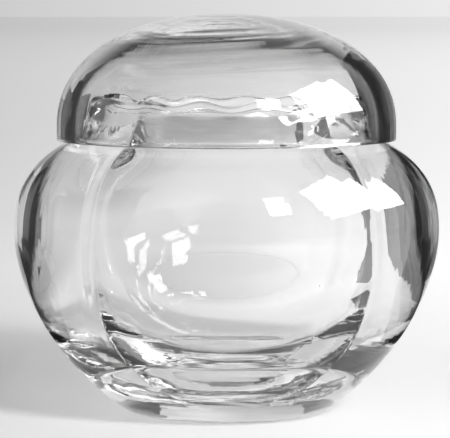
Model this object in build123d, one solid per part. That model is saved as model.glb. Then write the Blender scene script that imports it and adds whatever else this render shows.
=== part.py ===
from build123d import *
import math
import os

os.makedirs("parts", exist_ok=True)

# A clear crystal candy jar in two loose pieces: a heavy four-lobed bowl with a round neck, and a
# domed lid that drops over the neck and rests on the flat ledge round it.
# Millimetres, +Z up, one lobe facing -Y, the origin at the centre of the foot, where the jar stands.
# A crease is the valley between two lobes; its depth is a share of the lobe's radius.

# Lobes, shared by the bowl and the lid
LOBE_COUNT = 4
CREASE_SOFTNESS = 0.018
POINTS_PER_LOBE = 8
SECTIONS_PER_CURVE = 7

# Bowl, outside
BOWL_RADIUS = 68.5
WIDEST_LEVEL = 58.0
SHOULDER_HEIGHT = 29.3
SHOULDER_INSET = 17.2
SHOULDER_FULLNESS = 2.5
BELLY_INSET = 36.6
BELLY_FULLNESS = 1.75
BOWL_CREASE = 0.05
BOWL_CREASE_FADE = 1.5
FOOT_ROUNDING = 2.0
FOOT_RING_WIDTH = 7.9
FOOT_HOLLOW_DEPTH = 1.2

# Bowl, inside
BOWL_WALL = 6.8
SHOULDER_WALL = 5.5
FLOOR_THICKNESS = 16.0
FLOOR_FLAT_RADIUS = 10.0
CAVITY_SHOULDER_FULLNESS = 2.5
CAVITY_FLOOR_FULLNESS = 3.0
CAVITY_CREASE_AT_WAIST = 0.07
CAVITY_CREASE_AT_SHOULDER = 0.16
CAVITY_CREASE_AT_FLOOR = 0.18
THROAT_DEPTH = 1.8

# Neck
NECK_HEIGHT = 13.4
LEDGE_WIDTH = 5.9
NECK_TAPER = 2.8
NECK_WALL = 5.2
NECK_ROOT_BEVEL = 0.6
RIM_BEVEL = 1.2
STRAIGHT_MOUTH = 4.0

# Lid
LID_OVERHANG = 3.3
LID_NECK_GAP = 0.6
LID_SEAT_GAP = 0.05
LID_SKIRT_HEIGHT = 4.7
LID_DOME_RISE = 36.0
LID_FULLNESS = 2.15
LID_CROWN_THICKNESS = 11.5
LID_INNER_FULLNESS = 2.3
LID_CREASE = 0.03
LID_RIM_BEVEL = 0.6
CROWN_FLAT_RADIUS = 3.0

# How far a cutting shape runs past what it cuts
CUT_THROUGH = 5.0

# Worked out from the sizes above
LEDGE_LEVEL = WIDEST_LEVEL + SHOULDER_HEIGHT
LEDGE_RADIUS = BOWL_RADIUS - SHOULDER_INSET
FOOT_RADIUS = BOWL_RADIUS - BELLY_INSET
CAVITY_RADIUS = BOWL_RADIUS - BOWL_WALL
NECK_ROOT_RADIUS = LEDGE_RADIUS - LEDGE_WIDTH
NECK_RIM_RADIUS = NECK_ROOT_RADIUS - NECK_TAPER
RIM_LEVEL = LEDGE_LEVEL + NECK_HEIGHT
MOUTH_RADIUS = NECK_RIM_RADIUS - NECK_WALL
LID_RADIUS = LEDGE_RADIUS + LID_OVERHANG
LID_INNER_RADIUS = (NECK_ROOT_RADIUS + NECK_ROOT_BEVEL + LID_NECK_GAP) / (1 - LID_CREASE)


def lobed_radius(angle, crease):
    """Radius of an outline of equal round bulges, 1 at each crest and 1 - crease in each valley.

    Each bulge is a circle moved out from the centre. The outline is the largest of their radii,
    softened where two bulges meet: r = s * ln(sum(exp((r_i - 1) / s))) + 1.
    """
    half_lobe = math.pi / LOBE_COUNT
    valley = 1 - crease
    offset = (1 - valley**2) / (2 * (1 - valley * math.cos(half_lobe)))
    bulge = 1 - offset
    total = 0.0
    for index in range(LOBE_COUNT):
        away = angle - 2 * half_lobe * index
        squared = max(bulge**2 - (offset * math.sin(away)) ** 2, 0.0)
        reach = offset * math.cos(away) + math.sqrt(squared)
        total += math.exp((reach - 1) / CREASE_SOFTNESS)
    return 1 + CREASE_SOFTNESS * math.log(total)


def lobed_face(radius, level, crease):
    """Flat face at one level, bounded by a closed smooth curve through the lobed radius."""
    count = LOBE_COUNT * POINTS_PER_LOBE
    shares = [index / count for index in range(count + 1)]
    crest = lobed_radius(0, crease)
    front = -math.pi / 2
    outline = []
    for share in shares[:-1]:
        angle = 2 * math.pi * share
        reach = radius * lobed_radius(angle, crease) / crest
        outline.append((reach * math.cos(angle + front), reach * math.sin(angle + front), level))
    return Face(Wire(Edge.make_spline(outline, periodic=True, parameters=shares)))


def superellipse(radius, rise, fullness, height):
    """Radius r at a height h of the curve (r / radius)^fullness + (h / rise)^fullness = 1."""
    return radius * max(1 - (height / rise) ** fullness, 0.0) ** (1 / fullness)


def full_rise(radius, end_radius, height, fullness):
    """Rise of the superellipse that has drawn in from radius to end_radius at this height."""
    return height / (1 - (end_radius / radius) ** fullness) ** (1 / fullness)


def closing_heights(radius, rise, fullness, flat_radius):
    """Heights along a superellipse, up to where it has closed in to a small flat radius."""
    last = math.acos((flat_radius / radius) ** (fullness / 2))
    steps = [last * index / SECTIONS_PER_CURVE for index in range(SECTIONS_PER_CURVE + 1)]
    return [rise * math.sin(step) ** (2 / fullness) for step in steps]


def even_levels(start, end):
    """Evenly spaced levels from start to end, both included."""
    step = (end - start) / SECTIONS_PER_CURVE
    return [start + step * index for index in range(SECTIONS_PER_CURVE + 1)]


def rounded_corner(level, rounding):
    """How far a quarter-round bottom corner draws an outline in at a level above its foot."""
    if level >= rounding:
        return 0.0
    return rounding * (1 - math.sqrt(1 - (1 - level / rounding) ** 2))


def bowl_face(level):
    """Outer section of the bowl: a full shoulder above the widest level, a drawn-in belly below."""
    if level > WIDEST_LEVEL:
        rise = full_rise(BOWL_RADIUS, LEDGE_RADIUS, SHOULDER_HEIGHT, SHOULDER_FULLNESS)
        radius = superellipse(BOWL_RADIUS, rise, SHOULDER_FULLNESS, level - WIDEST_LEVEL)
    else:
        drop = full_rise(BOWL_RADIUS, FOOT_RADIUS, WIDEST_LEVEL, BELLY_FULLNESS)
        radius = superellipse(BOWL_RADIUS, drop, BELLY_FULLNESS, WIDEST_LEVEL - level)
    fade = max(math.sin(math.pi * level / LEDGE_LEVEL), 0.0) ** BOWL_CREASE_FADE
    return lobed_face(radius - rounded_corner(level, FOOT_ROUNDING), level, BOWL_CREASE * fade)


def cavity_face(level):
    """Inner section of the bowl, with creases that deepen from the waist to the shoulder and floor."""
    if level > WIDEST_LEVEL:
        height = level - WIDEST_LEVEL
        throat_height = SHOULDER_HEIGHT - THROAT_DEPTH
        throat_radius = LEDGE_RADIUS - SHOULDER_WALL
        rise = full_rise(CAVITY_RADIUS, throat_radius, throat_height, CAVITY_SHOULDER_FULLNESS)
        radius = superellipse(CAVITY_RADIUS, rise, CAVITY_SHOULDER_FULLNESS, height)
        share = height / SHOULDER_HEIGHT
        deepest = CAVITY_CREASE_AT_SHOULDER
    else:
        height = WIDEST_LEVEL - level
        full_depth = WIDEST_LEVEL - FLOOR_THICKNESS
        radius = superellipse(CAVITY_RADIUS, full_depth, CAVITY_FLOOR_FULLNESS, height)
        share = height / full_depth
        deepest = CAVITY_CREASE_AT_FLOOR
    crease = CAVITY_CREASE_AT_WAIST + (deepest - CAVITY_CREASE_AT_WAIST) * share**2
    return lobed_face(radius, level, crease)


def solid_bowl():
    """The bowl before it is hollowed: lofted lobes, a rounded foot with a shallow hollow under it."""
    foot = [0, FOOT_ROUNDING / 4, FOOT_ROUNDING]
    belly = even_levels(2 * FOOT_ROUNDING, WIDEST_LEVEL)
    shoulder = even_levels(WIDEST_LEVEL, LEDGE_LEVEL)[1:]
    bowl = loft([bowl_face(level) for level in foot + belly + shoulder])
    hollow_radius = FOOT_RADIUS - FOOT_ROUNDING - FOOT_RING_WIDTH
    ball = (hollow_radius**2 + FOOT_HOLLOW_DEPTH**2) / (2 * FOOT_HOLLOW_DEPTH)
    return bowl - Pos(0, 0, FOOT_HOLLOW_DEPTH - ball) * Sphere(ball)


def solid_neck():
    """Neck before it is bored: a slight cone on the ledge, bevelled at its root and at its rim."""
    root_top = NECK_ROOT_RADIUS - NECK_TAPER * NECK_ROOT_BEVEL / NECK_HEIGHT
    profile = [
        (0, LEDGE_LEVEL),
        (NECK_ROOT_RADIUS + NECK_ROOT_BEVEL, LEDGE_LEVEL),
        (root_top, LEDGE_LEVEL + NECK_ROOT_BEVEL),
        (NECK_RIM_RADIUS, RIM_LEVEL - RIM_BEVEL),
        (NECK_RIM_RADIUS - RIM_BEVEL, RIM_LEVEL),
        (0, RIM_LEVEL),
    ]
    return revolve(Plane.XZ * make_face(Polyline(*profile, close=True)), Axis.Z)


def cavity():
    """Space inside: a lobed bubble on a flat floor that runs out round through the neck."""
    full_depth = WIDEST_LEVEL - FLOOR_THICKNESS
    drops = closing_heights(CAVITY_RADIUS, full_depth, CAVITY_FLOOR_FULLNESS, FLOOR_FLAT_RADIUS)
    bubble_levels = [WIDEST_LEVEL - drop for drop in reversed(drops)]
    bubble_levels += even_levels(WIDEST_LEVEL, LEDGE_LEVEL - THROAT_DEPTH)[1:]
    sections = [cavity_face(level) for level in bubble_levels]
    mouth_level = RIM_LEVEL - STRAIGHT_MOUTH
    throat_level = (LEDGE_LEVEL + mouth_level) / 2
    throat_radius = (MOUTH_RADIUS + NECK_ROOT_RADIUS - NECK_WALL) / 2
    sections.append(lobed_face(throat_radius, throat_level, CAVITY_CREASE_AT_SHOULDER / 2))
    for level in (mouth_level, RIM_LEVEL, RIM_LEVEL + CUT_THROUGH):
        sections.append(lobed_face(MOUTH_RADIUS, level, 0))
    return loft(sections)


def mouth_flare():
    """Cone that bevels the inner edge of the rim."""
    narrow = MOUTH_RADIUS - RIM_BEVEL
    height = 2 * RIM_BEVEL + CUT_THROUGH
    flare = Cone(narrow, narrow + height, height, align=(Align.CENTER, Align.CENTER, Align.MIN))
    return Pos(0, 0, RIM_LEVEL - 2 * RIM_BEVEL) * flare


def jar_body():
    """Bowl and neck in one piece of glass, hollowed, with the rim bevelled inside and out."""
    return solid_bowl() + solid_neck() - cavity() - mouth_flare()


def lid_loft(outlines, ruled):
    """Loft through lobed outlines given as (radius, level), straight between them if ruled."""
    return loft([lobed_face(radius, level, LID_CREASE) for radius, level in outlines], ruled=ruled)


def lid_dome(radius, rise, fullness, bottom, bevel):
    """Solid dome on a straight skirt, lobed all the way up, its lowest edge drawn in by the bevel."""
    skirt_top = LEDGE_LEVEL + LID_SEAT_GAP + LID_SKIRT_HEIGHT
    skirt = [(radius - bevel, bottom), (radius, bottom + LID_RIM_BEVEL), (radius, skirt_top)]
    dome = []
    for height in closing_heights(radius, rise, fullness, CROWN_FLAT_RADIUS):
        dome.append((superellipse(radius, rise, fullness, height), skirt_top + height))
    return lid_loft(skirt, ruled=True) + lid_loft(dome, ruled=False)


def lid():
    """Domed lid, thick at the crown, with its outer edge bevelled where it meets the ledge."""
    rim_level = LEDGE_LEVEL + LID_SEAT_GAP
    below_rim = rim_level - CUT_THROUGH
    inner_rise = LID_DOME_RISE - LID_CROWN_THICKNESS
    outside = lid_dome(LID_RADIUS, LID_DOME_RISE, LID_FULLNESS, rim_level, LID_RIM_BEVEL)
    return outside - lid_dome(LID_INNER_RADIUS, inner_rise, LID_INNER_FULLNESS, below_rim, 0)


export_step(jar_body(), "parts/jar_body.step")
export_step(lid(), "parts/lid.step")
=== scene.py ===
# %% [markdown]
# # A clear crystal candy jar
#
# The real jar is two loose pieces of thick, colourless pressed crystal: a heavy bowl with four soft
# lobes and a round neck, and a domed lid that drops over the neck. Glass has no colour of its own
# here. All that the eye gets is bent light: dark bands where the thick wall turns the view round
# to something black, pale panels where it looks straight through, and the white shape of a studio
# lamp, seen again and again in every curved face. So the walls have their true thickness, and the
# room round the jar matters as much as the jar.

# %% Load the frame
import math

import bpy
import numpy as np
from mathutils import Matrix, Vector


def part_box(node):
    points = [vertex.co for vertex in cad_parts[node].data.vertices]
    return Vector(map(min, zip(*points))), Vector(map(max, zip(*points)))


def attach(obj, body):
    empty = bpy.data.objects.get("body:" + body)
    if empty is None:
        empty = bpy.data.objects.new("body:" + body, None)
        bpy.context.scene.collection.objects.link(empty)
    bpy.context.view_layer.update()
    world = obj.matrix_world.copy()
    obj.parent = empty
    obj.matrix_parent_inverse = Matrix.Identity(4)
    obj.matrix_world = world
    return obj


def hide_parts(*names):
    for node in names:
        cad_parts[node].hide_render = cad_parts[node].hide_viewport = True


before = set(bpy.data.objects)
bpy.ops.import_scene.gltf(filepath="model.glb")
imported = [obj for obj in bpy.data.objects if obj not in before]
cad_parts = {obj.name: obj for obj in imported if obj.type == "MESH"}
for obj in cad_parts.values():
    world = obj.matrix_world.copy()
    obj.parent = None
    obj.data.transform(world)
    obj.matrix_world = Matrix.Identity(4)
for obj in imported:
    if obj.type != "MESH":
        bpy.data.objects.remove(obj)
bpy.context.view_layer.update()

# %% [markdown]
# ## Sizes
#
# The two CAD nodes give the outer sizes, so that the glass fits the frame exactly. The rest is
# named here, each length in millimetres: how thick the walls are, how full each curve is, as the
# power of its superellipse, and how deep and how sharp the creases between the lobes are. A
# crease's depth is a share of the radius there. On the outside the lobes fade to a plain round at
# the foot and the ledge. On the inside they deepen towards the shoulder and the floor, where the
# plunger that pressed the hot glass had its own lobes.

# %% Sizes in millimetres
MM = 0.001
jar_high = [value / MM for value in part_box("jar_body")[1]]
lid_low, lid_high = [[value / MM for value in corner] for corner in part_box("lid")]

LOBES = 4
LEAST_CREASE = 0.0001
OUTER_SHARPNESS = 400.0
INNER_SHARPNESS = 250.0
LID_SHARPNESS = 70.0

BOWL_RADIUS = jar_high[1]
RIM_LEVEL = jar_high[2]
NECK_HEIGHT = 13.4
LEDGE_LEVEL = RIM_LEVEL - NECK_HEIGHT
WIDEST_LEVEL = 58.0
SHOULDER_RISE = 37.6
SHOULDER_FULLNESS = 2.5
BELLY_DROP = 69.0
BELLY_FULLNESS = 1.75
FOOT_ROUNDING = 2.0
FOOT_HOLLOW_RADIUS = 25.0
FOOT_HOLLOW_DEPTH = 2.5

CAVITY_RADIUS = BOWL_RADIUS - 6.8
CAVITY_FLOOR = 16.0
CAVITY_SHOULDER_RISE = 35.6
CAVITY_SHOULDER_FULLNESS = 2.5
CAVITY_FLOOR_FULLNESS = 3.0
THROAT_LEVEL = LEDGE_LEVEL - 1.8
NECK_ROOT_RADIUS = 45.4
NECK_RIM_RADIUS = 42.6
NECK_BORE_RADIUS = NECK_RIM_RADIUS - 5.2
NECK_BORE_DEPTH = 4.0
RIM_WAVE = 0.9
RIM_WAVES = 14
RIM_WAVES_TURNED = 0.23
RIM_WAVES_VARY = 0.2
RIM_WAVES_START = 94.0
RIM_WAVES_FULL = RIM_LEVEL - 0.5

LID_RADIUS = lid_high[1]
LID_RIM_LEVEL = lid_low[2]
LID_SKIRT_TOP = LID_RIM_LEVEL + 4.7
LID_TOP = lid_high[2]
LID_FULLNESS = 2.15
LID_WALL = 6.6
LID_CROWN = 7.0
LID_INNER_FULLNESS = 2.3

# How far along the line each corner is rounded, and where the neck's wider rounding sets in
CORNER_POLISH = 0.35
NECK_POLISH = 1.3
NECK_POLISH_LEVELS = (84.0, 86.0)
NECK_POLISH_RADII = (50.0, 48.0)
LID_POLISH = 0.45

# How far along the line the creases outside and inside run into each other
CREASE_BLEND = 3.0
LID_CREASE_BLEND = 2.0

# How many rings of points each piece has from end to end of its line
JAR_ROWS = 256
LID_ROWS = 240

# Crease depth against level, as (level, share of the radius)
OUTER_CREASES = (
    (0, 0.0005), (15, 0.003), (30, 0.015), (45, 0.03), (60, 0.05),
    (72, 0.05), (80, 0.045), (87, 0.015), (90, 0.004), (101, 0.002),
)
INNER_CREASES = (
    (16, 0.18), (24, 0.14), (35, 0.09), (48, 0.06), (60, 0.05),
    (70, 0.055), (78, 0.075), (85, 0.11), (92, 0.07), (101, 0.02),
)
LID_OUTER_CREASES = ((85, 0.03), (130, 0.03))
LID_INNER_CREASES = ((85, 0.05), (130, 0.03))
print("bowl radius", round(BOWL_RADIUS, 2), "mm, ledge at", round(LEDGE_LEVEL, 2), "mm")
print("lid from", round(LID_RIM_LEVEL, 2), "to", round(LID_TOP, 2), "mm")

# %% [markdown]
# ## One lobed outline
#
# Seen from above, the jar is four equal bulges round one centre. A cosine wave would give soft
# lobes but no crease, and four separate arcs would need joints. This way takes the largest of
# four circles at every angle and softens the change from one to the next with a logarithm of
# summed exponentials, so that the valleys are narrow and rounded like fire-polished glass.

# %% The outline as a function of angle and crease depth
def lobed_radius(angle, crease, sharpness):
    """Radius 1 at each crest, and 1 - crease in each valley if the sharpness is high.

    Circle i has radius 1 - e and its centre e out from the middle, so its reach at an angle a from
    its own direction is e cos(a) + sqrt((1 - e)^2 - (e sin(a))^2). With sharpness k the outline is
    1 + ln(sum of exp(k (reach - 1))) / k, divided by its own value at a crest.
    """
    crease = np.maximum(crease, LEAST_CREASE)
    half_lobe = math.pi / LOBES
    valley = 1 - crease
    offset = (1 - valley**2) / (2 * (1 - valley * math.cos(half_lobe)))

    def outline(direction):
        away = direction[..., None] - 2 * half_lobe * np.arange(LOBES)
        part = offset[..., None]
        squared = np.maximum((1 - part) ** 2 - (part * np.sin(away)) ** 2, 0)
        reach = part * np.cos(away) + np.sqrt(squared)
        return 1 + np.log(np.exp(sharpness[..., None] * (reach - 1)).sum(-1)) / sharpness

    return outline(angle) / outline(np.zeros_like(angle))


reaches = lobed_radius(np.radians([0.0, 45.0]), np.full(2, 0.05), np.full(2, OUTER_SHARPNESS))
print("radius on a crest and in a valley", reaches.round(3))

# %% [markdown]
# ## Profiles
#
# Cut through its axis, each piece shows the same line on both sides, which starts and ends on the
# axis. Nearly all of it is straights and parts of superellipses. The line is written with sharp
# corners and then averaged along its own length, which rounds each corner the way flame polishing
# does. Last, the points are spread so that they lie close where the line turns and far apart where
# it runs straight: glass shows every flat facet, so the triangles go where the light bends most.

# %% Lines in the plane of radius and level
STEP = 0.1


def superellipse(radius, rise, fullness, low, high, count=160):
    """Points (r, h) of (r / radius)^fullness + (h / rise)^fullness = 1, from height low to high."""
    ends = np.arcsin((np.clip(np.array([low, high]) / rise, 0, 1)) ** (fullness / 2))
    turn = np.linspace(ends[0], ends[1], count)
    out, up = np.cos(turn).clip(0) ** (2 / fullness), np.sin(turn) ** (2 / fullness)
    return np.stack([radius * out, rise * up], 1)


def even(line):
    """The line at even steps along its length."""
    length = np.concatenate([[0], np.cumsum(np.hypot(*np.diff(line, axis=0).T))])
    along = np.linspace(0, 1, int(length[-1] / STEP) + 1) * length[-1]
    return np.stack([np.interp(along, length, column) for column in line.T], 1)


def average(column, width, kind):
    """Weighted average along the line with a bell curve of this width, mirrored past both ends."""
    reach = int(4 * width / STEP)
    bell = np.exp(-0.5 * (np.arange(-reach, reach + 1) * STEP / width) ** 2)
    padded = np.pad(column, reach, mode="reflect", reflect_type=kind)
    return np.convolve(padded, bell / bell.sum(), "valid")


def soften(line, width):
    """Round the line's corners. The radius changes sign past the axis, and the level doesn't."""
    return np.stack([average(line[:, 0], width, "odd"), average(line[:, 1], width, "even")], 1)


def spread(line, count, longest=2.4, sharpest=math.radians(7)):
    """count points along the line, with a density of 1 / longest plus the turning / sharpest."""
    along = np.gradient(line[:, :2], axis=0)
    heading = np.unwrap(np.arctan2(along[:, 1], along[:, 0]))
    density = np.hypot(along[:, 0], along[:, 1]) / longest + np.abs(np.gradient(heading)) / sharpest
    total = np.concatenate([[0], np.cumsum((density[1:] + density[:-1]) / 2)])
    places = np.linspace(0, 1, len(line))
    share = np.interp(np.linspace(0, total[-1], count), total, places)
    points = np.stack([np.interp(share, places, column) for column in line.T], 1)
    points[[0, -1], 0] = 0
    return points


def smoothstep(value, start, end):
    """0 before start, 1 after end, and 3t^2 - 2t^3 between them."""
    share = np.clip((value - start) / (end - start), 0, 1)
    return share * share * (3 - 2 * share)


corner = even(np.array([[0.0, 0.0], [20.0, 0.0], [20.0, 20.0]]))
moved = np.hypot(*(soften(corner, 1.0) - corner).T).max()
print("a right-angled corner softened by 1 mm moves in by", round(float(moved), 2), "mm")

# %% [markdown]
# ## A profile carried round the axis
#
# The surface is a grid: one row for each point of the profile and one column for each angle, so
# that a point is (r L sin a, -r L cos a, z) with L the lobed radius. All rows are worked out at
# once as arrays. The columns crowd at the creases, and the first and last rows close to a point
# on the axis, so the glass is one watertight skin with a real inside.

# %% The surface of a piece
COLUMNS = 384
CROWDING = 0.85
closeness = (1 + CROWDING) / (1 - CROWDING)
print(COLUMNS, "columns,", round(closeness, 1), "times as close in a crease as on a crest")


def carried_round(name, profile, material, lift=None):
    """Mesh of a profile with rows (radius, level, crease, sharpness), closed on the axis at its ends.

    The angle is a = u + c sin(4u) / 4 with c the crowding, so that the columns are
    (1 + c) / (1 - c) times as close in a crease as on a crest.
    """
    turn = np.linspace(0, 2 * math.pi, COLUMNS, endpoint=False)
    rows = profile[1:-1]
    shape = (len(rows), COLUMNS)
    around = np.broadcast_to(turn + CROWDING * np.sin(LOBES * turn) / LOBES, shape)
    radius, level, crease, sharpness = (np.broadcast_to(column[:, None], shape) for column in rows.T)
    reach = radius * lobed_radius(around, crease, sharpness)
    if lift is not None:
        level = level + lift(around, level)
    grid = np.stack([reach * np.sin(around), -reach * np.cos(around), level], -1).reshape(-1, 3)
    ends = np.array([[0, 0, profile[0, 1]], [0, 0, profile[-1, 1]]])
    points = np.concatenate([grid, ends]) * MM

    row, column = np.meshgrid(np.arange(len(rows) - 1), np.arange(COLUMNS), indexing="ij")
    here = row * COLUMNS + column
    beside = row * COLUMNS + (column + 1) % COLUMNS
    quads = np.stack([here, beside, beside + COLUMNS, here + COLUMNS], -1).reshape(-1, 4)
    first, second = np.arange(COLUMNS), (np.arange(COLUMNS) + 1) % COLUMNS
    last_row = (len(rows) - 1) * COLUMNS
    fan_start = np.stack([np.full(COLUMNS, len(grid)), second, first], 1)
    fan_end = np.stack([np.full(COLUMNS, len(grid) + 1), last_row + first, last_row + second], 1)

    mesh = bpy.data.meshes.new(name)
    mesh.from_pydata(points, [], quads.tolist() + fan_start.tolist() + fan_end.tolist())
    mesh.materials.append(material)
    mesh.polygons.foreach_set("use_smooth", np.ones(len(mesh.polygons), bool))
    mesh.update()
    piece = bpy.data.objects.new(name, mesh)
    bpy.context.scene.collection.objects.link(piece)
    print(name, "triangles", 2 * len(quads) + 2 * COLUMNS)
    return piece


# %% [markdown]
# ## Polished lead crystal
#
# Lead crystal is pressed hot and then fire polished: the skin is as smooth as a liquid, but never
# quite flat, so straight lines seen through it waver. It is clear and colourless, and its IOR is
# that of a lightly leaded glass. The principled shader with full transmission bends the light at
# both faces of the wall. Three weak bumps give the skin: a slow waver all over, fine upright
# streaks where the glass ran down the mould, and rings where it spread in the thick foot and
# crown. They could be real waves in the mesh, but bends so small would need far more triangles.

# %% Nodes and colours
def linear(code):
    """A colour written as sRGB hex, turned to linear light: ((c + 0.055) / 1.055)^2.4."""
    value = np.array([int(code[place:place + 2], 16) for place in (0, 2, 4)]) / 255
    light = np.where(value > 0.04045, ((value + 0.055) / 1.055) ** 2.4, value / 12.92)
    return (*light.tolist(), 1.0)


def add_node(tree, kind, settings=None, links=None):
    """A node of this kind, with its settings by socket or property name, and its incoming links."""
    node = tree.nodes.new(kind)
    for name, value in (settings or {}).items():
        if isinstance(name, int) or name in node.inputs:
            node.inputs[name].default_value = value
        else:
            setattr(node, name, value)
    for name, source in (links or {}).items():
        tree.links.new(source, node.inputs[name])
    return node


def maths(tree, operation, first, second=0.0):
    """One step of arithmetic on a socket, with a second socket or a plain number."""
    settings, links = {"operation": operation}, {0: first}
    (settings if isinstance(second, float) else links)[1] = second
    return add_node(tree, "ShaderNodeMath", settings, links).outputs[0]


def ramp(tree, value, start, end, low=0.0, high=1.0):
    """low up to start, high from end on, and a straight line between."""
    settings = {"From Min": start, "From Max": end, "To Min": low, "To Max": high}
    return add_node(tree, "ShaderNodeMapRange", settings, {"Value": value}).outputs[0]


def split(tree, vector, axis):
    """One part, X, Y or Z, of a vector."""
    return add_node(tree, "ShaderNodeSeparateXYZ", {}, {"Vector": vector}).outputs[axis]


print("the table's BFBFBF in linear light", round(linear("BFBFBF")[0], 3))

# %% The glass
RING_MIDDLE = 65.0
RING_START = 30.0
RING_FULL = 55.0
RING_TURN = 0.12


def swell(tree, place, spacing, depth):
    """A height in metres: noise with one swell to each spacing, lifted by depth, in millimetres."""
    look = {"Scale": 1 / (spacing * MM), "Detail": 1.0, "Roughness": 0.4}
    noise = add_node(tree, "ShaderNodeTexNoise", look, {"Vector": place}).outputs[0]
    return maths(tree, "MULTIPLY", noise, depth * MM)


def glass(name, waver, streaks, rings):
    """Clear glass with a skin of three bumps, each given as its spacing and depth in millimetres.

    The waver runs all over. The streaks are noise read at the bearing alone, times r / R, so they
    run up and down and fade towards the axis. The rings are noise read at the radius and the
    level, with a little of the place added so that they don't close, near the foot and the crown.
    """
    material = bpy.data.materials.new(name)
    material.use_nodes = True
    tree = material.node_tree
    tree.nodes.clear()
    place = add_node(tree, "ShaderNodeTexCoord").outputs["Object"]
    level = split(tree, place, "Z")
    flat = add_node(tree, "ShaderNodeVectorMath", {"operation": "MULTIPLY", 1: (1, 1, 0)}, {0: place})
    flat = flat.outputs[0]
    radius = add_node(tree, "ShaderNodeVectorMath", {"operation": "LENGTH"}, {0: flat}).outputs["Value"]

    aim = add_node(tree, "ShaderNodeVectorMath", {"operation": "NORMALIZE"}, {0: flat}).outputs[0]
    on_bowl = {"operation": "SCALE", "Scale": BOWL_RADIUS * MM}
    bearing = add_node(tree, "ShaderNodeVectorMath", on_bowl, {0: aim}).outputs[0]
    outward = ramp(tree, radius, 0.0, BOWL_RADIUS * MM)

    section = add_node(tree, "ShaderNodeCombineXYZ", {}, {"X": radius, "Z": level}).outputs[0]
    turned = add_node(tree, "ShaderNodeVectorMath", {"operation": "SCALE", "Scale": RING_TURN}, {0: flat})
    summed = {0: section, 1: turned.outputs[0]}
    ringed = add_node(tree, "ShaderNodeVectorMath", {"operation": "ADD"}, summed)
    from_middle = maths(tree, "ABSOLUTE", maths(tree, "SUBTRACT", level, RING_MIDDLE * MM))
    at_ends = ramp(tree, from_middle, RING_START * MM, RING_FULL * MM)

    streaked = maths(tree, "MULTIPLY", swell(tree, bearing, *streaks), outward)
    rippled = maths(tree, "MULTIPLY", swell(tree, ringed.outputs[0], *rings), at_ends)
    height = maths(tree, "ADD", maths(tree, "ADD", swell(tree, place, *waver), streaked), rippled)
    bump = add_node(tree, "ShaderNodeBump", {"Strength": 1.0, "Distance": 1.0}, {"Height": height})
    look = {"Base Color": linear("FFFFFF"), "Roughness": 0.0, "IOR": 1.52, "Transmission Weight": 1.0}
    shader = add_node(tree, "ShaderNodeBsdfPrincipled", look, {"Normal": bump.outputs[0]})
    add_node(tree, "ShaderNodeOutputMaterial", {}, {"Surface": shader.outputs[0]})
    print(name, "has", len(tree.nodes), "nodes")
    return material


crystal = glass("polished_lead_crystal", waver=(18.0, 0.06), streaks=(2.2, 0.018), rings=(4.0, 0.14))

# %% [markdown]
# ## The jar
#
# One line makes the whole jar: from the middle of the hollow foot out over the ring it stands on,
# up the belly and the shoulder, in across the flat ledge, up the neck, over its rounded rim, and
# back down inside to the floor. The bottom is very thick, as it is on the real one, which is what
# makes the dark swirls there. The rim was polished in the flame until it sagged a little between
# its crests, and those waves draw the wavy double line that shows through the lid.

# %% The jar's line
HOLLOW_POINTS = 60
hollow_radius = np.linspace(0, FOOT_HOLLOW_RADIUS, HOLLOW_POINTS)
hollow_level = FOOT_HOLLOW_DEPTH * (1 - (hollow_radius / FOOT_HOLLOW_RADIUS) ** 2)
hollow = np.stack([hollow_radius, hollow_level], 1)

belly = superellipse(BOWL_RADIUS, BELLY_DROP, BELLY_FULLNESS, WIDEST_LEVEL, 0)
belly[:, 1] = WIDEST_LEVEL - belly[:, 1]
short = np.clip(1 - belly[:, 1] / FOOT_ROUNDING, 0, 1)
belly[:, 0] -= FOOT_ROUNDING * (1 - np.sqrt(1 - short**2))

shoulder = superellipse(BOWL_RADIUS, SHOULDER_RISE, SHOULDER_FULLNESS, 0, LEDGE_LEVEL - WIDEST_LEVEL)
shoulder[:, 1] += WIDEST_LEVEL
neck = [
    [NECK_ROOT_RADIUS, LEDGE_LEVEL],
    [NECK_RIM_RADIUS, RIM_LEVEL],
    [NECK_BORE_RADIUS, RIM_LEVEL],
    [NECK_BORE_RADIUS, RIM_LEVEL - NECK_BORE_DEPTH],
]
inner_shoulder = superellipse(
    CAVITY_RADIUS, CAVITY_SHOULDER_RISE, CAVITY_SHOULDER_FULLNESS, THROAT_LEVEL - WIDEST_LEVEL, 0
)
inner_shoulder[:, 1] += WIDEST_LEVEL
cavity_drop = WIDEST_LEVEL - CAVITY_FLOOR
inner_floor = superellipse(CAVITY_RADIUS, cavity_drop, CAVITY_FLOOR_FULLNESS, 0, cavity_drop)
inner_floor[:, 1] = WIDEST_LEVEL - inner_floor[:, 1]

jar_line = even(np.concatenate([hollow, belly, shoulder, neck, inner_shoulder, inner_floor[1:]]))
outer_end, inner_end = NECK_POLISH_RADII
at_neck = smoothstep(jar_line[:, 1], *NECK_POLISH_LEVELS)
at_neck *= smoothstep(-jar_line[:, 0], -outer_end, -inner_end)
crisp, polished = soften(jar_line, CORNER_POLISH), soften(jar_line, NECK_POLISH)
jar_line = crisp + (polished - crisp) * at_neck[:, None]
print("length of the jar's line", round(len(jar_line) * STEP), "mm")

# %% Build the jar
inside = np.arange(len(jar_line)) > jar_line[:, 1].argmax()
outer_depth = np.interp(jar_line[:, 1], *zip(*OUTER_CREASES))
inner_depth = np.interp(jar_line[:, 1], *zip(*INNER_CREASES))
jar_crease = average(np.where(inside, inner_depth, outer_depth), CREASE_BLEND, "even")
jar_sharpness = average(np.where(inside, INNER_SHARPNESS, OUTER_SHARPNESS), CREASE_BLEND, "even")
jar_profile = spread(np.column_stack([jar_line, jar_crease, jar_sharpness]), JAR_ROWS)


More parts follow.
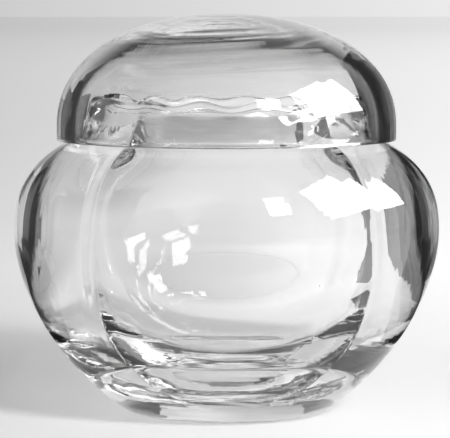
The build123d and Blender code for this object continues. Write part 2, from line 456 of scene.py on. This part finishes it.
def rim_waves(around, level):
    """The rim sinks by up to twice RIM_WAVE between crests, and nothing below RIM_WAVES_START moves.

    The lift is -w s (1 - cos(14 (a + t)) (1 - v + v cos(3a))), with w the wave, s a smoothstep of
    the level that reaches 1 at the rim, t the turn of the crests and v how much the waves vary.
    """
    near_rim = smoothstep(level, RIM_WAVES_START, RIM_WAVES_FULL)
    strength = 1 - RIM_WAVES_VARY + RIM_WAVES_VARY * np.cos(3 * around)
    swing = np.cos(RIM_WAVES * (around + RIM_WAVES_TURNED)) * strength
    return -RIM_WAVE * near_rim * (1 - swing)


jar = carried_round("jar_crystal", jar_profile, crystal, rim_waves)

# %% [markdown]
# ## The lid
#
# The lid is a thick dome of the same glass with the same four lobes. Its line starts under the
# crown, runs down the inside and out across the rim, and comes back over the outside. It stands a
# hair above the ledge, as two loose pieces of glass do, and that thin gap of air is what draws the
# dark line between them.

# %% Build the lid
inner_rise = LID_TOP - LID_CROWN - LID_SKIRT_TOP
inner_dome = superellipse(LID_RADIUS - LID_WALL, inner_rise, LID_INNER_FULLNESS, inner_rise, 0)
inner_dome[:, 1] += LID_SKIRT_TOP
outer_rise = LID_TOP - LID_SKIRT_TOP
outer_dome = superellipse(LID_RADIUS, outer_rise, LID_FULLNESS, 0, outer_rise)
outer_dome[:, 1] += LID_SKIRT_TOP
skirt = [[LID_RADIUS - LID_WALL, LID_RIM_LEVEL], [LID_RADIUS, LID_RIM_LEVEL]]
lid_line = soften(even(np.concatenate([inner_dome, skirt, outer_dome])), LID_POLISH)
lid_line[:, 1] = np.maximum(lid_line[:, 1], LID_RIM_LEVEL)

outside = np.arange(len(lid_line)) > lid_line[:, 1].argmin()
outer_depth = np.interp(lid_line[:, 1], *zip(*LID_OUTER_CREASES))
inner_depth = np.interp(lid_line[:, 1], *zip(*LID_INNER_CREASES))
lid_crease = average(np.where(outside, outer_depth, inner_depth), LID_CREASE_BLEND, "even")
lid_sharpness = np.full(len(lid_line), LID_SHARPNESS)
lid_profile = spread(np.column_stack([lid_line, lid_crease, lid_sharpness]), LID_ROWS)
lid = carried_round("lid_crystal", lid_profile, crystal)

# %% [markdown]
# ## Riding on the frame
#
# Each piece moves with its CAD body and stands in for its CAD node, which stays for collision.

# %% Bodies and nodes
for piece, body, node in ((jar, "jar", "jar_body"), (lid, "lid", "lid")):
    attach(piece, body)
    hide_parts(node)
    print(piece.name, "rides", body, "and replaces", node)

# %% [markdown]
# ## Table
#
# Glass is lit by its surroundings. A wide pale table runs far back, so that the panels of the jar
# look through onto it and stay pale. Lamps strong enough to make its far end pale would burn out
# the glass, so the board glows a little by itself instead: least beside the jar, most from half a
# metre to four metres off, and a little more to the right, as in the photograph. Far off it fades
# to nearly the sky's own value, so that no hard horizon shows through the bowl.

# %% Helpers for the stage
FACING = math.radians(2.5)
EVEN_SLOPE = 0.1


def matt(name, code, glow=0.0):
    """A plain rough surface of this colour, with some light of its own if it glows."""
    material = bpy.data.materials.new(name)
    material.use_nodes = True
    shader = material.node_tree.nodes["Principled BSDF"]
    shader.inputs["Base Color"].default_value = linear(code)
    shader.inputs["Roughness"].default_value = 0.6
    shader.inputs["Emission Color"].default_value = linear(code)
    shader.inputs["Emission Strength"].default_value = glow
    return material


def seen_from_camera(across, ahead):
    """World place, in metres on the ground, of a point so far right and behind in the picture."""
    right = across * math.cos(FACING) + ahead * math.sin(FACING)
    return [right, ahead * math.cos(FACING) - across * math.sin(FACING)]


def card(name, corners, material):
    """A flat card with these corners, each (right, behind, up) in metres as the camera sees it."""
    places = [[*seen_from_camera(*corner[:2]), corner[2]] for corner in corners]
    mesh = bpy.data.meshes.new(name)
    mesh.from_pydata(places, [], [(0, 1, 2, 3)])
    mesh.materials.append(material)
    thing = bpy.data.objects.new(name, mesh)
    thing.visible_camera = False
    thing.visible_shadow = False
    bpy.context.scene.collection.objects.link(thing)
    return thing


def sideways(tree, place, tilt, behind, aside):
    """The distance |y| + behind, and a brightness of 1 + tilt (s - f) for the slope s of a place.

    The slope is (x + aside) / (|y| + behind), f is the camera's turn, and s stays within
    EVEN_SLOPE of f.
    """
    ahead = maths(tree, "ADD", maths(tree, "ABSOLUTE", split(tree, place, "Y")), behind)
    slope = maths(tree, "DIVIDE", maths(tree, "ADD", split(tree, place, "X"), aside), ahead)
    low, high = 1 - EVEN_SLOPE * tilt, 1 + EVEN_SLOPE * tilt
    return ahead, ramp(tree, slope, FACING - EVEN_SLOPE, FACING + EVEN_SLOPE, low, high)


print("the camera stands", round(math.degrees(FACING), 1), "degrees to the left of the front lobe")

# %% The table
TABLE_HALF = 30.0
TABLE_GAP = 0.0002
CAMERA_BEHIND = 0.815
CAMERA_ASIDE = 0.036
TABLE_NEAR_GLOW = 0.70
TABLE_GLOW = 1.22
TABLE_PEAK_GLOW = 1.05 * TABLE_GLOW
TABLE_FAR_GLOW = 1.03
TABLE_RISING = (0.72, 1.25)
TABLE_FALLING = (2.0, 14.0)
TABLE_TILT = 2.1


def table_surface(name, code):
    """Matt painted board with a soft glow: the lesser of a rise and a fall with the distance."""
    material = matt(name, code)
    tree = material.node_tree
    place = add_node(tree, "ShaderNodeTexCoord").outputs["Object"]
    ahead, across = sideways(tree, place, TABLE_TILT, CAMERA_BEHIND, CAMERA_ASIDE)
    near = ramp(tree, ahead, *TABLE_RISING, TABLE_NEAR_GLOW, TABLE_GLOW)
    far = ramp(tree, ahead, *TABLE_FALLING, TABLE_PEAK_GLOW, TABLE_FAR_GLOW)
    light = maths(tree, "MULTIPLY", maths(tree, "MINIMUM", near, far), across)
    tree.links.new(light, tree.nodes["Principled BSDF"].inputs["Emission Strength"])
    return material


half = TABLE_HALF
table_corners = [(-half, -half, 0), (half, -half, 0), (half, half, 0), (-half, half, 0)]
table_mesh = bpy.data.meshes.new("pale_table")
table_mesh.from_pydata(table_corners, [], [(0, 1, 2, 3)])
table_mesh.materials.append(table_surface("matt_white_table", "BFBFBF"))
table = bpy.data.objects.new("pale_table", table_mesh)
table.location.z = -TABLE_GAP
bpy.context.scene.collection.objects.link(table)
print("table", 2 * TABLE_HALF, "metres square")

# %% [markdown]
# ## Black flags
#
# Photographers draw the edges of clear glass with black cards just outside the picture. The thick
# wall bends the view at each edge round to the side, and there it meets a card. Two cards stand
# close beside the jar, each with a black mat at its foot for the view that is bent downwards. Two
# more stand farther back, clear of the table, and draw the edges of the lid. A grey card low
# behind the right draws the slender streak beside the right crease. The camera doesn't see them,
# and they throw no shadow.

# %% The flags
FLAG_GAP = 0.15
FLAG_START = 0.0
FLAG_END = 0.15
FLAG_TOP = 0.28
MAT_GAP = 0.075
MAT_LEVEL = 0.001
REAR_FLAG_START = 0.12
REAR_FLAG_END = 0.42
REAR_FLAG_FOOT = 0.07
GREY_CARD_START = (0.15, 0.15)
GREY_CARD_END = (0.122, 0.45)

# Each side's name and sign, how far out its rear flag ends, and that flag's top
SIDES = (("left", -1, 0.17, 0.12), ("right", 1, 0.13, 0.24))

black_cloth = matt("black_cloth", "050505")


def upright(near, far, foot, top):
    """Corners of an upright card over the ground from near to far, between two levels."""
    return [(*near, foot), (*far, foot), (*far, top), (*near, top)]


for name, side, aside, top in SIDES:
    near, far = (side * FLAG_GAP, REAR_FLAG_START), (side * aside, REAR_FLAG_END)
    upper = card("black_flag_upper_" + name, upright(near, far, REAR_FLAG_FOOT, top), black_cloth)
    upper.visible_diffuse = False

    near, far = (side * FLAG_GAP, FLAG_START), (side * FLAG_GAP, FLAG_END)
    card("black_flag_" + name, upright(near, far, 0, FLAG_TOP), black_cloth)
    inner_far, inner_near = (side * MAT_GAP, FLAG_END), (side * MAT_GAP, FLAG_START)
    mat_corners = [(*place, MAT_LEVEL) for place in (near, far, inner_far, inner_near)]
    mat = card("black_flag_" + name + "_foot", mat_corners, black_cloth)
    mat.visible_diffuse = False
grey_corners = upright(GREY_CARD_START, GREY_CARD_END, 0, REAR_FLAG_FOOT)
grey = card("grey_card_right", grey_corners, matt("grey_card", "8A8A8A", 0.4))
grey.visible_diffuse = False
print("flags stand", FLAG_GAP, "metres to each side")

# %% [markdown]
# ## Lamps and daylight
#
# Two lamps show in the glass. A long softbox close at the right gives the wide diamonds on the
# front and the wavy window on the back wall. It is made as a glowing card that gives no diffuse
# light, so that it doesn't burn out the table. A smaller softbox, at the front and right, gives
# the small square, lights the scene and throws the shadow back to the left. The daylight is
# brightest near the horizon and to the right, and dark overhead, which keeps the lines of the
# crown.

# %% Lamps
AIM_LEVEL = 0.06


def bright_card(name, bearing, rise, distance, width, height, strength):
    """A glowing white card that faces the jar. The glass shows it, but it gives no diffuse light.

    It stands at a bearing and a rise in degrees, counted from the camera's side.
    """
    side, up = math.radians(bearing), math.radians(rise)
    toward = np.array([math.sin(side) * math.cos(up), -math.cos(side) * math.cos(up), math.sin(up)])
    across = np.array([math.cos(side), math.sin(side), 0]) * width / 2
    along = np.cross(across, toward) * height / width
    middle = toward * distance + [0, 0, AIM_LEVEL]
    turns = ((-1, 1), (1, 1), (1, -1), (-1, -1))
    corners = [middle + right * across + back * along for right, back in turns]
    white = card(name, corners, matt(name + "_surface", "FFFFFF", strength))
    white.visible_diffuse = False


def softbox(name, bearing, rise, distance, size, watts):
    """A square area lamp aimed at the jar's middle, from a bearing and a rise in degrees."""
    side, up = math.radians(bearing), math.radians(rise)
    lamp = bpy.data.lights.new(name, "AREA")
    lamp.shape = "SQUARE"
    lamp.size = size
    lamp.energy = watts
    thing = bpy.data.objects.new(name, lamp)
    out = distance * math.cos(up)
    ground = seen_from_camera(out * math.sin(side), -out * math.cos(side))
    thing.location = (*ground, AIM_LEVEL + distance * math.sin(up))
    thing.rotation_euler = (0, math.pi / 2 - up, side - FACING - math.pi / 2)
    thing.visible_camera = False
    bpy.context.scene.collection.objects.link(thing)


bright_card("side_softbox", bearing=88, rise=28, distance=0.47, width=0.42, height=0.23, strength=13.0)
softbox("front_softbox", bearing=34, rise=30, distance=1.25, size=0.28, watts=19.0)

# %% Daylight
SKY_TILT = 1.7
HORIZON = 0.72
UPPER_SKY = 0.42
OVERHEAD_SHARE = 0.12

# Where the sky darkens, as the sine of the height above the horizon
DUSK = (0.12, 0.3)
NIGHT = (0.3, 0.55)

world = bpy.data.worlds.new("soft_daylight")
world.use_nodes = True
tree = world.node_tree
direction = add_node(tree, "ShaderNodeTexCoord").outputs["Generated"]
rise = split(tree, direction, "Z")
dusk = ramp(tree, rise, *DUSK, HORIZON, UPPER_SKY)
night = ramp(tree, rise, *NIGHT, 1.0, OVERHEAD_SHARE)
across = sideways(tree, direction, SKY_TILT, 0.0, 0.0)[1]
daylight = maths(tree, "MULTIPLY", maths(tree, "MULTIPLY", dusk, night), across)
background = tree.nodes["Background"]
background.inputs["Color"].default_value = linear("FFFFFF")
tree.links.new(daylight, background.inputs["Strength"])
bpy.context.scene.world = world
print("daylight", HORIZON, "at the horizon and", round(UPPER_SKY * OVERHEAD_SHARE, 3), "overhead")

# %% [markdown]
# ## Camera
#
# The picture was taken from low down, a little above the lid, with a long lens. The jar is turned
# so that its front lobe points slightly to the right, so the camera stands slightly to the left.

# %% Camera
FOCAL_PIXELS = 2536.0
IMAGE_WIDTH = 450.0
SHIFT_PIXELS = -1.5
SENSOR = 36.0
DISTANCE = 0.816
CAMERA_LEVEL = 0.1303
PITCH = math.radians(4.80)
lens = bpy.data.cameras.new("camera")
lens.sensor_width = SENSOR
lens.lens = SENSOR * FOCAL_PIXELS / IMAGE_WIDTH
lens.shift_x = SHIFT_PIXELS / IMAGE_WIDTH
lens.clip_start = 0.01
camera = bpy.data.objects.new("camera", lens)
camera.location = (*seen_from_camera(0, -DISTANCE), CAMERA_LEVEL)
camera.rotation_euler = (math.pi / 2 - PITCH, 0, -FACING)
bpy.context.scene.collection.objects.link(camera)
bpy.context.scene.camera = camera
bpy.context.scene.view_settings.view_transform = "Standard"
bpy.context.scene.cycles.max_bounces = 24
bpy.context.scene.cycles.transmission_bounces = 24
bpy.context.scene.cycles.glossy_bounces = 12
print("lens", round(lens.lens), "mm at", DISTANCE, "metres")
